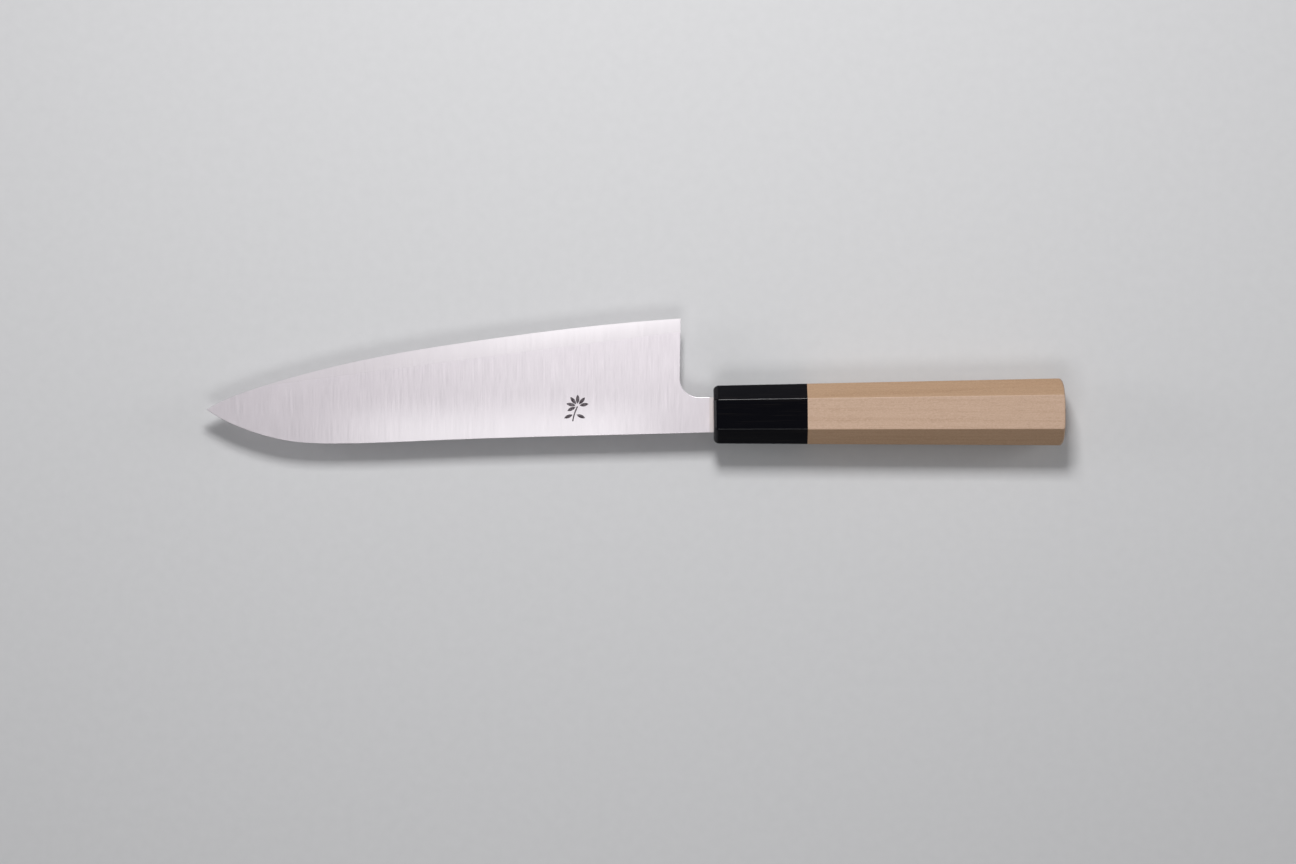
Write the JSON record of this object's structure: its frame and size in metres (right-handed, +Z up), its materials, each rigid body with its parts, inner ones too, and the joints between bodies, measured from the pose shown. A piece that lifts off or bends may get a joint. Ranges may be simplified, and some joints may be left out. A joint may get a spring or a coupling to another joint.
{
  "type": "japanese chef knife",
  "caption": "Curved double-bevel chef's knife blade with a narrow neck, dark horn ferrule and tapered octagonal pale wood handle, tang glued inside.",
  "frame": {"origin": "bottom centre of the bounding box, with the knife lying on its left side", "axes": "+X from the blade's tip to the handle's butt, +Y toward the cutting edge, +Z up through the blade's thickness, out of its right side"},
  "size_m": [0.3252, 0.0493, 0.0206],
  "materials": {
    "core_steel": "bright, finely ground",
    "cladding_steel": "satin, fine hairlines across the blade",
    "horn": "polished black horn",
    "ho_wood": "bare, sanded, pale straight grain",
    "resin": "dull set resin"
  },
  "bodies": {
    "root": {"core_steel": "core_steel", "cladding_right": "cladding_steel", "cladding_left": "cladding_steel", "ferrule": "horn", "handle_body": "ho_wood", "mouth_seal": "resin"}
  },
  "joints": []
}
